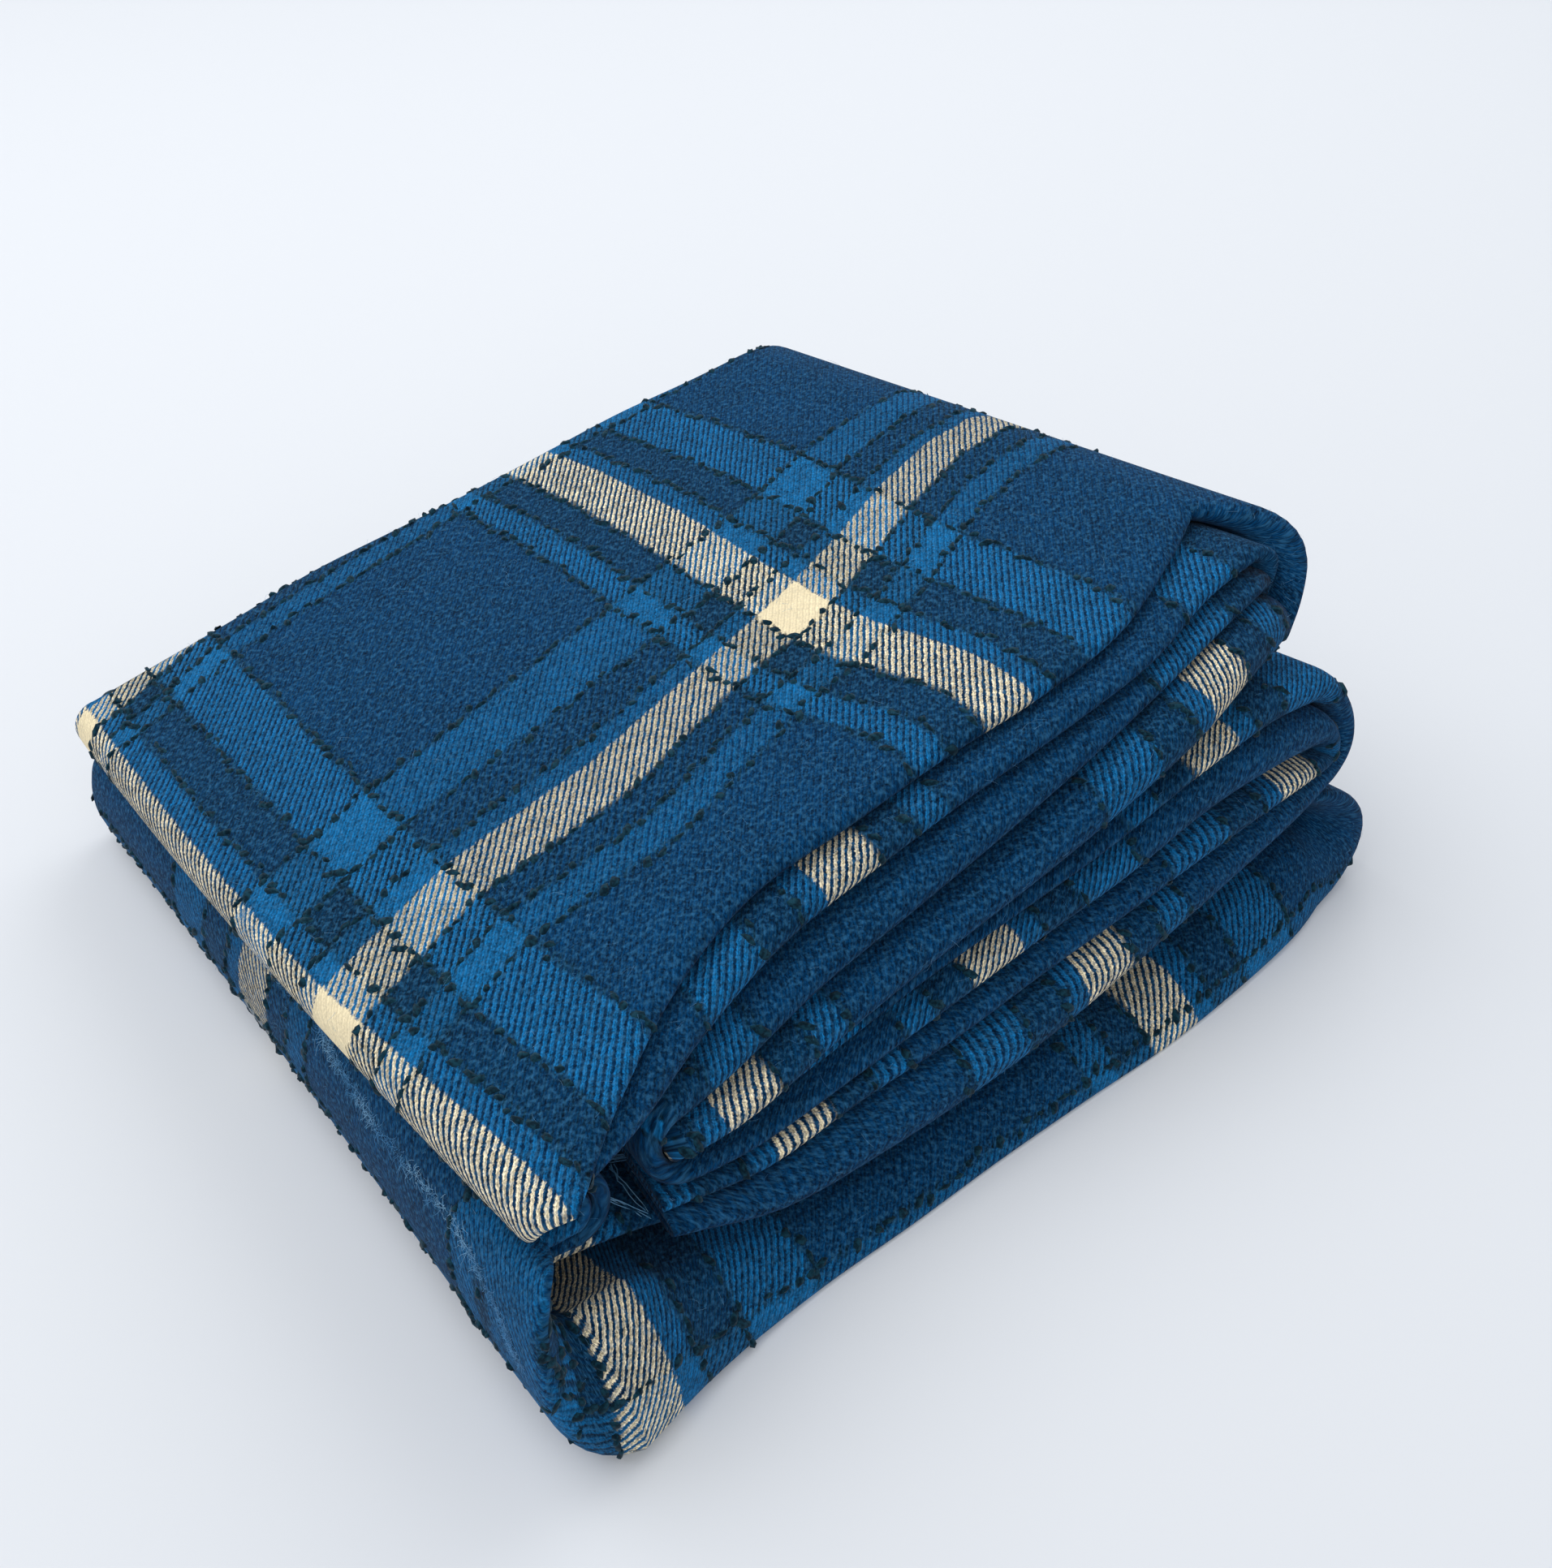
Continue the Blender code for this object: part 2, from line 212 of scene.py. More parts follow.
class Turn:
    def __init__(self, step, share, before, after):
        self.name, self.around, self.above, self.below, self.at, self.side = step[1:7]
        outerOut, upward, draw, lift, late = step[7:12]
        self.share = share
        self.out = 1 if outerOut else -1
        self.angle = math.pi * (share - 0.5) * (1 if upward else -1)
        drawn = draw + lift * math.sin(self.angle)
        self.spread = 1.0 + max(0.0, 1.0 / drawn - 1.0) * math.cos(self.angle)
        self.reachOut = self.side * drawn * math.cos(self.angle) ** 0.8
        moved = share ** late
        for name in ("frontX", "edgeA", "edgeB", "lean", "split", "roundA", "lip"):
            a, b = getattr(before, name), getattr(after, name)
            setattr(self, name, a * (1 - moved) + b * moved)

    def half(self, y):
        x = centreX(self.at, y)
        middle = height(self.around, x, y)
        up = 0.5 * (height(self.above, x, y) - middle)
        down = 0.5 * (middle - height(self.below, x, y))
        return 0.5 * (up + down) + 0.5 * (up - down) * math.sin(self.angle)

    def place(self, y, level):
        x = centreX(self.at, y)
        reach = self.half(y) * (1 + level * self.out)
        return x + self.reachOut * reach, height(self.around, x, y) + math.sin(self.angle) * reach


def makeStations():
    groups = [None] * len(path)
    finer = stack["finer"]
    for k, step in enumerate(path):
        if step[0] == "run":
            count = (step[-1] - 1) * finer + 1
            groups[k] = [Run(step, i / (count - 1)) for i in range(count)]
    for k, step in enumerate(path):
        if step[0] == "turn":
            count = (step[-1] + 1) * finer - 1
            before, after = groups[k - 1][-1], groups[k + 1][0]
            groups[k] = [Turn(step, (i + 1) / (count + 1), before, after) for i in range(count)]
    return [station for group in groups for station in group]


# points across the strip: the outer layer's rolled back edge, the layer, fold a, the second layer,
# the back fold, the third layer, fold b and the inner layer
across = {"rolled": 5, "outer": 36, "edge": 13, "second": 12, "backFold": 7, "third": 12, "inner": 10}


def layerLevels(station, y, fromEdge):
    half = station.half(y)
    step = np.minimum(stack["layerStep"] * station.spread / half, stack["tightest"])
    outer = 1 - step * stack["clearance"] / stack["layerStep"]
    low, high = -outer + 1.5 * step, outer - 1.5 * step
    split = np.where(low < high, np.clip(station.split, low, high), 0.0)
    spread = ease(fromEdge / 70.0)
    upper = (split + 0.5 * step) * (1 - spread) + outer / 3 * spread
    lower = (split - 0.5 * step) * (1 - spread) - outer / 3 * spread
    return outer, upper, lower, -outer


def foldedEdge(station, edge, lean, roundness, first, second):
    share = 0.5 * (1 - np.cos(np.linspace(0.0, math.pi, across["edge"])))
    turned = np.linspace(0.0, math.pi, across["edge"])
    levels = layerLevels(station, np.array(edge), 0.0)
    tall = float(station.half(np.array(edge)) * (levels[first] - levels[second]))
    bulge = min(roundness * tall, 10.0)
    y = edge + lean * share + bulge * (1 - np.sin(turned))
    levels = layerLevels(station, y, y - edge)
    return y, levels[first] * (1 - share) + levels[second] * share


def flatLayer(station, shares, start, end, edge, which):
    y = start + (end - start) * np.asarray(shares)
    return y, layerLevels(station, y, y - edge)[which]


def rolledBack(station, back):
    half = float(station.half(np.array(back)))
    outer = float(layerLevels(station, np.array(back), 100.0)[0])
    radius = min(5.0, 0.6 * half)
    turned = np.linspace(-0.35 * math.pi, 0.42 * math.pi, across["rolled"])
    y = back - radius + radius * np.cos(turned)
    return y, outer - radius * (1 - np.sin(turned)) / half


def backFold(station, back, edge):
    y = np.full(across["backFold"], back - 9.0)
    levels = layerLevels(station, y, y - edge)
    reach = float(station.half(np.array(back))) * (levels[1][0] - levels[2][0]) * 0.5
    turned = np.linspace(-0.5 * math.pi, 0.5 * math.pi, across["backFold"])
    share = 0.5 * (1 + np.sin(turned))
    return y + min(reach, 3.5) * np.cos(turned), levels[1] * (1 - share) + levels[2] * share


def section(station):
    back = float(alongX(backEdge, station.frontX))
    a, b = station.edgeA, station.edgeB
    outerShares = 1 - (1 - np.linspace(0.0, 1.0, across["outer"] + 1)[:-1]) ** 1.25
    near = np.linspace(0.04, 0.96, across["second"])
    far = np.linspace(0.04, 0.96, across["third"])
    inside = np.linspace(0.12, 1.0, across["inner"])
    parts = [
        rolledBack(station, back),
        flatLayer(station, outerShares, back - 7, a + 12 + station.lean, a, 0),
        foldedEdge(station, a, station.lean, station.roundA, 0, 1),
        flatLayer(station, near, a + 9 + station.lean, back - 10, a, 1),
        backFold(station, back, a),
        flatLayer(station, far, back - 10, b + 7, b, 2),
        foldedEdge(station, b, 0.0, usualRound, 2, 3),
        flatLayer(station, inside, b + 5, back - 11, b, 3),
    ]
    return tuple(np.concatenate(rows) for rows in zip(*parts))


stations = makeStations()
rows = []
for station in stations:
    y, level = section(station)
    x, z = station.place(y, level)
    z = z + station.lip * ease((-103 - y) / 9) * np.clip(z / 40, 0, 1)
    rows.append(np.stack([x, y, z], axis=1))
points = np.array(rows)                      # stations x places across x 3, in mm
print("folds:", points.shape)

# widths of one repeat from the middle of a cream stripe, the same both ways
sett = {
    "repeat": 166.0, "cream": 8.5, "mid": 16.0, "dark": 28.5,
    "bright": 49.5, "field": 135.5, "narrow": 146.0, "weaveZero": -22.0,
}
slubLines = [sett[name] for name in ("mid", "dark", "bright", "field", "narrow")]
slubLines.append(sett["repeat"] - sett["cream"])
# on the top: x of each width line less its own width, and y of each line
topShift = {
    "x": [-135, -105, 20, 60, 130],
    "y": [-100, -75, -60, -50, -30, -10, 20, 60, 100, 125],
    "shift": [
        [32.5, 29.5, 27, 26, 23, 21, 20, 19, 19, 19.5],
        [30, 27, 24, 23.5, 22.5, 21, 20.5, 20, 20, 19.5],
        [28, 32, 35, 31.5, 24, 21, 20.5, 20.5, 18, 13],
        [28, 29, 29.5, 28.5, 26, 22.5, 22, 21, 14, 9],
        [26, 28, 29, 28, 25, 22.5, 22, 18, 10, 5],
    ],
}
topLines = {
    "x": [-140, -95, -50, 0, 21, 50, 75, 100, 118],
    "line": [-116.5, -30.5, -20, -8.5, 8.5, 16, 28.5, 49.5, 135.5, 146],
    "y": [
        [-143, -58, -47, -37, -20, -12, 2, 22, 103, 110],
        [-131, -45, -33, -24, -8.5, -1, 12, 31, 115, 125],
        [-131, -46, -34, -24.5, -7.5, 0, 14.5, 36, 117, 127],
        [-120, -35, -23, -14, 0.5, 8, 19, 42, 118, 127],
        [-118, -33, -21, -13, 4, 11.5, 21, 43.5, 117, 126],
        [-110, -25, -13, -4, 11.5, 18, 27, 47, 115, 124],
        [-101, -15, -4, 5, 20, 26, 37, 53, 115, 122],
        [-95, -9, 2, 11, 24.5, 29.5, 40, 53, 113, 119],
        [-96, -10, 0, 9, 21, 27, 38, 51, 112, 117],
    ],
}
# x of a cream stripe on each pass at fold a and fold b, which way its repeat runs, and its length there
stripeAt = {
    "pass4": (32.0, 111.0, -1, -1, 166.0, 173.0),
    "pass3": (81.0, 1.0, 1, 1, 166.0, 166.0),
    "pass2": (90.0, 150.0, -1, -1, 163.0, 262.0),
    "pass1": (0.0, -25.5, 1, -1, 166.0, 166.0),
    "pass5": (51.0, 51.0, 1, 1, 177.0, 177.0),
}
# line of the check at each fold's round
lineAtFold = {
    "pass4": (-78.0, -70.0), "pass3": (-72.0, -80.0), "pass2": (-70.0, -64.0), "pass1": (-72.0, -75.0),
    "pass5": (-114.0, -90.0), "pass6": (-80.0, -80.0),
    "pleatIn": (-108.0, -90.0), "pleatOut": (-112.0, -90.0),
}
pastLines = 1.6                              # the check runs on faster past its last line
rollShift = 49.0                             # lines on the left roll, past those on the top
oppositeEdge = 460.0                         # fold b lies this far from fold a along the cloth's width


def gridLookup(gridX, gridY, values, x, y):
    values = np.asarray(values, float)
    i = np.clip(np.searchsorted(gridX, x) - 1, 0, len(gridX) - 2)
    j = np.clip(np.searchsorted(gridY, y) - 1, 0, len(gridY) - 2)
    gx, gy = np.asarray(gridX, float), np.asarray(gridY, float)
    s = ease((x - gx[i]) / (gx[i + 1] - gx[i]))
    s = 0.5 * s + 0.5 * np.clip((x - gx[i]) / (gx[i + 1] - gx[i]), 0, 1)
    t = np.clip((y - gy[j]) / (gy[j + 1] - gy[j]), 0, 1)
    low = values[i, j] * (1 - s) + values[i + 1, j] * s
    high = values[i, j + 1] * (1 - s) + values[i + 1, j + 1] * s
    return low * (1 - t) + high * t


def topLine(x, y):
    table = np.asarray(topLines["y"], float)
    lines = np.array(topLines["line"])
    x = np.clip(x, topLines["x"][0], topLines["x"][-1])
    found = np.empty(len(x))
    for k in range(len(x)):
        column = [np.interp(x[k], topLines["x"], table[:, c]) for c in range(len(lines))]
        if y[k] < column[0]:
            found[k] = lines[0] + (y[k] - column[0])
        elif y[k] > column[-1]:
            found[k] = lines[-1] + pastLines * (y[k] - column[-1])
        else:
            found[k] = np.interp(y[k], column, lines)
    return found


names = [s.name for s in stations]
spans = {n: (names.index(n), len(names) - 1 - names[::-1].index(n)) for n in dict.fromkeys(names)}
yGrid = np.linspace(-140, 135, 23)
outerX, outerZ = np.empty((len(stations), len(yGrid))), np.empty((len(stations), len(yGrid)))
for i, station in enumerate(stations):
    level = layerLevels(station, yGrid, 100.0)[0]
    outerX[i], outerZ[i] = station.place(yGrid, level)
stepLength = np.hypot(np.diff(outerX, axis=0), np.diff(outerZ, axis=0))
arc = np.vstack([np.zeros(len(yGrid)), np.cumsum(stepLength, axis=0)])
first, last = spans["pass1"]
onPass = slice(first, last + 1)
atTop = [np.interp(sett["weaveZero"], -outerX[onPass, k], arc[onPass, k]) for k in range(len(yGrid))]
weaveAlong = -(arc - np.array(atTop))


def checkAlong(which):
    # the check along the strip for the outer two layers, 0, or the inner two, 1
    found = np.full(arc.shape, np.nan)
    onTop = slice(first, last + 1)
    if which == 0:
        shift = gridLookup(topShift["x"], topShift["y"], topShift["shift"],
                           outerX[onTop], np.broadcast_to(yGrid, outerX[onTop].shape))
        found[onTop] = outerX[onTop] - shift
    else:
        found[onTop] = -(outerX[onTop] - stripeAt["pass1"][1])
    # back along the path from the top, pass after pass
    for turn, run in (("turn21", "pass2"), ("turn32", "pass3"), ("turn43", "pass4")):
        t0, t1 = spans[turn]
        r0, r1 = spans[run]
        at, way, repeat = stripeAt[run][which], stripeAt[run][2 + which], stripeAt[run][4 + which]
        new = way * (outerX[r0:r1 + 1] - at) * sett["repeat"] / repeat
        length = arc[t1 + 1] - arc[r1]
        wanted = found[t1 + 1] + length
        new = new + sett["repeat"] * np.round((wanted.mean() - new[-1].mean()) / sett["repeat"])
        found[r0:r1 + 1] = new
        share = (arc[t0:t1 + 1] - arc[r1]) / length
        found[t0:t1 + 1] = new[-1] * (1 - share) + found[t1 + 1] * share
    end = spans["pleatIn"][1]
    atRidge = found[last] if which == 0 else outerX[last] + sett["weaveZero"]
    found[last + 1:end + 1] = atRidge - (arc[last + 1:end + 1] - arc[last])
    r0, r1 = spans["pass5"]
    at, way, repeat = stripeAt["pass5"][which], stripeAt["pass5"][2 + which], stripeAt["pass5"][4 + which]
    found[r0:r1 + 1] = way * (outerX[r0:r1 + 1] - at) * sett["repeat"] / repeat
    start = spans["pleatOut"][0]
    found[start:r0] = found[r0] - (arc[r0] - arc[start:r0])
    t0, t1 = spans["turnPleat"]
    share = (arc[t0:t1 + 1] - arc[end]) / (arc[start] - arc[end])
    found[t0:t1 + 1] = found[end] * (1 - share) + found[start] * share
    found[r1 + 1:] = found[r1] + (arc[r1 + 1:] - arc[r1])
    return found


alongA, alongB = checkAlong(0), checkAlong(1)
starts = np.cumsum([0, across["rolled"], across["outer"], across["edge"], across["second"],
                    across["backFold"], across["third"], across["edge"], across["inner"]])
lastOuter = starts[2] - 1
crestA = starts[2] + across["edge"] // 2
crestB = starts[6] + across["edge"] // 2
toB = np.zeros(starts[-1])
toB[starts[5]:starts[6]] = ease(np.linspace(0.0, 1.0, across["third"]))
toB[starts[6]:] = 1.0

# lines at the folds for every section, eased over the turns
foldLines = np.full((len(stations), 2), np.nan)
for name, values in lineAtFold.items():
    i0, i1 = spans[name]
    foldLines[i0:i1 + 1] = values
for c in range(2):
    known = ~np.isnan(foldLines[:, c])
    foldLines[:, c] = np.interp(np.arange(len(stations)), np.flatnonzero(known), foldLines[known, c])

# how much a section takes the top's own lines, and how much it takes the lines of the standing front edge
topWeight = np.zeros(len(stations))
topWeight[first:last + 1] = 1.0
t0, t1 = spans["turn21"]
topWeight[t0:t1 + 1] = np.linspace(0.0, 1.0, t1 - t0 + 1)
topWeight[last + 1:spans["turnLow"][1] + 1] = 1.0
frontFace = np.zeros(len(stations))
frontFace[spans["pass5"][0]:] = 1.0
t0, t1 = spans["turnLow"]
frontFace[t0:t1 + 1] = ease(np.linspace(0.0, 1.6, t1 - t0 + 1))

weave, check = np.empty(points.shape[:2] + (2,)), np.empty(points.shape[:2] + (2,))
for i in range(len(stations)):
    p = points[i]
    step = np.linalg.norm(np.diff(p[:, 1:], axis=0), axis=1)
    down = -np.concatenate([[0.0], np.cumsum(step)])
    down += p[lastOuter, 1] - down[lastOuter]
    toward = (p[crestB, 1] - oppositeEdge) - down[crestB]
    weave[i, :, 0] = np.interp(p[:, 1], yGrid, weaveAlong[i])
    weave[i, :, 1] = down + toB * toward
    byA, byB = np.interp(p[:, 1], yGrid, alongA[i]), np.interp(p[:, 1], yGrid, alongB[i])
    check[i, :, 0] = byA * (1 - toB) + byB * toB
    lineA = foldLines[i, 0] + (down - down[crestA])
    # the standing front edge shows its bright band below
    faced = foldLines[i, 0] - (down - down[crestA])
    if topWeight[i] > 0:
        outer = np.arange(lastOuter + 1)
        top = np.empty(len(p))
        onRoll = names[i] in ("pleatOut", "turnLow")
        x = p[outer, 0] if names[i] == "pass1" else np.full(len(outer), p[0, 0])
        top[outer] = topLine(x, p[outer, 1] - (rollShift if onRoll else 0.0))
        top[lastOuter + 1:] = top[lastOuter] + down[lastOuter + 1:] - down[lastOuter]
        lineA = lineA * (1 - topWeight[i]) + top * topWeight[i]
    if frontFace[i] > 0:
        near = frontFace[i] * (1 - ease((down - down[crestA] - 22) / 30))
        lineA = lineA * (1 - near) + faced * near
    lineB = foldLines[i, 1] + (down - down[crestB])
    check[i, :, 1] = lineA * (1 - toB) + lineB * toB
print("check laid on the folds")

class Sock:
    # wraps a socket so that shader maths reads as an expression
    def __init__(self, maker, socket):
        self.maker, self.socket = maker, socket

    def math(self, operation, *others):
        return self.maker.node("ShaderNodeMath", {"operation": operation}, dict(enumerate(others)))

    def __add__(self, other):
        return self.math("ADD", self, other)

    def __radd__(self, other):
        return self.math("ADD", other, self)

    def __sub__(self, other):
        return self.math("SUBTRACT", self, other)

    def __rsub__(self, other):
        return self.math("SUBTRACT", other, self)

    def __mul__(self, other):
        return self.math("MULTIPLY", self, other)

    def __rmul__(self, other):
        return self.math("MULTIPLY", other, self)

    def __truediv__(self, other):
        return self.math("DIVIDE", self, other)

    def frac(self):
        return self.math("FRACT", self)

    def wrap(self, low, high):
        return self.math("WRAP", self, high, low)

    def abs(self):
        return self.math("ABSOLUTE", self)

    def min(self, other):
        return self.math("MINIMUM", self, other)

    def max(self, other):
        return self.math("MAXIMUM", self, other)

    def soft(self, low, high):
        settings = {"interpolation_type": "SMOOTHSTEP"}
        values = {"Value": self, "From Min": low, "From Max": high}
        return self.maker.node("ShaderNodeMapRange", settings, values)


class Maker:
    def __init__(self, name, roughness, sheen=0.0):
        self.material = bpy.data.materials.new(name)
        self.material.use_nodes = True
        self.tree = self.material.node_tree
        self.shader = self.tree.nodes["Principled BSDF"]
        self.shader.inputs["Roughness"].default_value = roughness
        self.shader.inputs["Specular IOR Level"].default_value = 0.04
        self.shader.inputs["Sheen Weight"].default_value = sheen

    def node(self, kind, settings=None, values=None, out=0):
        made = self.tree.nodes.new(kind)
        for name, value in (settings or {}).items():
            setattr(made, name, value)
        for key, value in (values or {}).items():
            socket = made.inputs[key]
            if isinstance(value, Sock):
                self.tree.links.new(value.socket, socket)
            else:
                socket.default_value = value
        return Sock(self, made.outputs[out])

    def mix(self, factor, a, b):
        return self.node("ShaderNodeMix", {"data_type": "RGBA"}, {0: factor, 6: a, 7: b}, 2)

    def shade(self, **links):
        for name, value in links.items():
            self.tree.links.new(value.socket, self.shader.inputs[name.replace("_", " ")])

    def uv(self, name):
        source = self.node("ShaderNodeUVMap", {"uv_map": name})
        x = self.node("ShaderNodeSeparateXYZ", None, {0: source}, 0)
        y = Sock(self, x.socket.node.outputs[1])
        return x / mm, y / mm

    def noise(self, vector, scale, detail=2.0):
        return self.node("ShaderNodeTexNoise", None, {"Vector": vector, "Scale": scale, "Detail": detail})

    def vector(self, x, y, z=0.0):
        return self.node("ShaderNodeCombineXYZ", None, {0: x, 1: y, 2: z})


def srgb(r, g, b):
    def lin(c):
        c = c / 255
        return c / 12.92 if c <= 0.04045 else ((c + 0.055) / 1.055) ** 2.4
    return (lin(r), lin(g), lin(b), 1.0)


wool = {
    "navy": srgb(1, 54, 94),
    "bright": srgb(16, 104, 160),
    "cream": srgb(240, 224, 186),
    "slub": srgb(8, 34, 44),
    "deep": srgb(2, 40, 66),
    "nap": srgb(62, 128, 174),
    "pitchAlong": 2.32,        # mm between diagonals, one way and the other
    "pitchAcross": 2.52,
    "napAmount": 0.40,
    "leastLight": 0.02,        # shares of light in the yarns: the least, and what each noise adds
    "strandLight": 0.5,
    "grainLight": 0.55,
    "cloudLight": 0.22,
    "clumpLight": 0.45,
    "bumpStrength": 0.55,
    "bumpHeight": 0.0004,
    "roughness": 0.95,
    "sheen": 0.04,
}


def inBand(place, start, end, edge):
    # one between two widths, with a soft edge
    half = 0.5 * (end - start)
    return (place - 0.5 * (start + end)).abs().soft(half + edge, half - edge)


def yarnColour(m, line, across):
    # colour of a yarn from its place in the repeat
    place = line.wrap(0.0, sett["repeat"])
    edge = 0.35
    near = line.wrap(-0.5 * sett["repeat"], 0.5 * sett["repeat"]).abs()
    cream = near.soft(sett["cream"] + edge, sett["cream"] - edge)
    mid = inBand(place, sett["cream"], sett["mid"], edge)
    bright = inBand(place, sett["dark"], sett["bright"], edge)
    narrow = inBand(place, sett["field"], sett["narrow"], edge)
    blue = (mid * 0.85).max(bright).max(narrow * 0.9)
    deep = (place - 22.25).abs().soft(6.6, 5.6).max((place - 151.75).abs().soft(6.1, 5.1))
    colour = m.mix(deep * 0.8, wool["navy"], wool["deep"])
    colour = m.mix(blue, colour, wool["bright"])
    colour = m.mix(cream, colour, wool["cream"])
    # the slub yarn beside each band edge
    far = (place - slubLines[0]).abs()
    for value in slubLines[1:]:
        far = far.min((place - value).abs())
    thick = m.noise(m.vector(line * 0.3, across, 0.0), 0.3, 2.0)
    slub = (far - (thick - 0.25) * 3.4).soft(0.8, -0.4)
    return m.mix(slub * 0.8, colour, wool["slub"]), cream


def woolMaterial():
    m = Maker("napped wool", wool["roughness"], wool["sheen"])
    s, t = m.uv("weave")
    u, v = m.uv("check")
    wander = m.noise(m.vector(s, t), 0.35, 2.0)
    fine = m.noise(m.vector(s, t), 1.7, 2.0)
    # edges of the bands follow the yarns and the steps of the twill
    ripple = (wander - 0.5) * 1.6 + (fine - 0.5) * 1.6
    upright, creamA = yarnColour(m, u + ripple, v)
    level, creamB = yarnColour(m, v + ripple, u)
    # a diagonal of the twill, pushed about by the wandering yarns
    diagonal = s / wool["pitchAlong"] - t / wool["pitchAcross"]
    phase = (diagonal + (fine - 0.5) * 0.55 + (wander - 0.5) * 0.5).frac()
    ridge = (phase - 0.5).abs() * 2.0
    showUpright = ridge.soft(0.30, 0.70)
    colour = m.mix(showUpright, level, upright)
    # each yarn's own shade, and the nap that veils the weave; the light also carries painted light on the upright
    # yarns and painted shade in the twill's grooves
    strand = m.noise(m.vector(s * 1.6, t * 1.6), 1.0, 3.0)
    cloudy = m.noise(m.vector(s, t), 0.055, 3.0)
    grain = m.noise(m.vector(s * 1.1, t * 1.1), 1.2, 3.0)
    clump = m.noise(m.vector(s, t), 0.32, 3.0)
    # the twill's grooves: a mask used for painted shade in the grooves and as bump height
    deeper = (phase - 0.06).wrap(-0.5, 0.5).abs().soft(0.0, 0.16)
    grooveShadeAndDepth = deeper * (phase - 0.56).wrap(-0.5, 0.5).abs().soft(0.0, 0.10)
    light = wool["leastLight"] + strand.soft(0.3, 0.7) * wool["strandLight"]
    light = light + grain.soft(0.3, 0.7) * wool["grainLight"]
    light = light + cloudy.soft(0.3, 0.7) * wool["cloudLight"] + clump.soft(0.3, 0.7) * wool["clumpLight"]
    # painted light: the upright yarns of the twill are drawn brighter than the level ones, as if the light catches
    # them
    light = light * (0.72 + showUpright * 0.42)
    # painted shade: darker along the twill's grooves
    light = light * (0.55 + grooveShadeAndDepth * 0.5)
    both = creamA * creamB                   # a cream yarn over a cream yarn stays clean
    light = light + (1.08 - light) * (both * 0.75)
    shadeVector = m.node("ShaderNodeVectorMath", {"operation": "SCALE"}, {0: colour, "Scale": light})
    fuzz = m.noise(m.vector(s * 0.5 + t * 0.5, t * 1.4 - s * 1.4), 0.85, 4.0).soft(0.46, 0.74)
    specks = m.noise(m.vector(s, t, 4.0), 0.75, 4.0).soft(0.44, 0.70)
    fuzz = fuzz * 0.55 + specks * 0.8
    colour = m.mix(fuzz * wool["napAmount"] * (1 - both * 0.9), shadeVector, wool["nap"])
    bumpHeight = grooveShadeAndDepth * 0.5 + strand * 0.55 + fuzz * 0.35
    settings = {"Height": bumpHeight, "Strength": wool["bumpStrength"], "Distance": wool["bumpHeight"]}
    bump = m.node("ShaderNodeBump", None, settings)
    m.shade(Base_Color=colour, Normal=bump)
    return m.material


def plainMaterial(name, colour, other, roughness=0.95, scale=900.0, sheen=0.3):
    m = Maker(name, roughness, sheen)
    place = m.node("ShaderNodeTexCoord", None, None, 3)
    noise = m.noise(place, scale, 3.0)
    colour = m.mix(noise.soft(0.35, 0.7), colour, other)
    bump = m.node("ShaderNodeBump", None, {"Height": noise, "Strength": 0.6, "Distance": 0.0004})
    m.shade(Base_Color=colour, Normal=bump)
    return m.material


middle = np.array([stack["middle"][0], stack["middle"][1], 0.0])


def clothMesh():
    alongCount, acrossCount = points.shape[:2]
    mesh = bpy.data.meshes.new("woolSheet")
    grid = bmesh.new()
    bmesh.ops.create_grid(grid, x_segments=alongCount - 1, y_segments=acrossCount - 1, size=1.0)
    weaveMap = grid.loops.layers.uv.new("weave")
    checkMap = grid.loops.layers.uv.new("check")
    place = {}
    for vert in grid.verts:
        i = round((vert.co.x + 1) / 2 * (alongCount - 1))
        j = round((vert.co.y + 1) / 2 * (acrossCount - 1))
        place[vert] = (i, j)
        vert.co = (points[i, j] - middle) * mm
    for face in grid.faces:
        face.smooth = True
        for loop in face.loops:
            i, j = place[loop.vert]
            loop[weaveMap].uv = weave[i, j] * mm
            loop[checkMap].uv = check[i, j] * mm
    grid.to_mesh(mesh)
    grid.free()
    return mesh


cloth = bpy.data.objects.new("woolSheet", clothMesh())
bpy.context.collection.objects.link(cloth)
cloth.data.materials.append(woolMaterial())
solidify = cloth.modifiers.new("thickness", "SOLIDIFY")
solidify.thickness = stack["thickness"] * mm
solidify.offset = 0.0
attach(cloth, "root")
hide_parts("wool_cloth")

print("cloth made")

# slub yarn: the dark lumps beside the bands
slubs = {
    "pitch": 3.9,
    "missing": 0.16,           # share of places with no lump
    "asideReach": 2.0,         # how far a lump may lie from its cell of the check
    "alongReach": 1.5,
    "strayFar": 9.0,           # lumps stray from the line, a few of them far
    "strayNear": 1.0,
    "jitter": 0.7,
    "lean": 0.4,
    "leanSpread": 1.3,
    "wobble": 0.7,
    "widestCell": 14.0,
    "length": (2.2, 5.2),
    "width": (1.3, 3.0),
    "height": (0.35, 1.0),
    "clearOf": 0.012,          # a lump needs this much open space over it, in metres
    "overTable": 0.0003,
    "flattest": 0.001,         # a bent cell of the check with less area than this is passed over
}
chance = np.random.default_rng(7)


def scatter(step, number, turn, which):
    # a share between 0 and 1 that belongs to one lump, the same on each run
    value = math.sin(step * 12.9898 + number * 78.233 + turn * 37.7 + which * 11.3) * 43758.5453
    return value - math.floor(value)


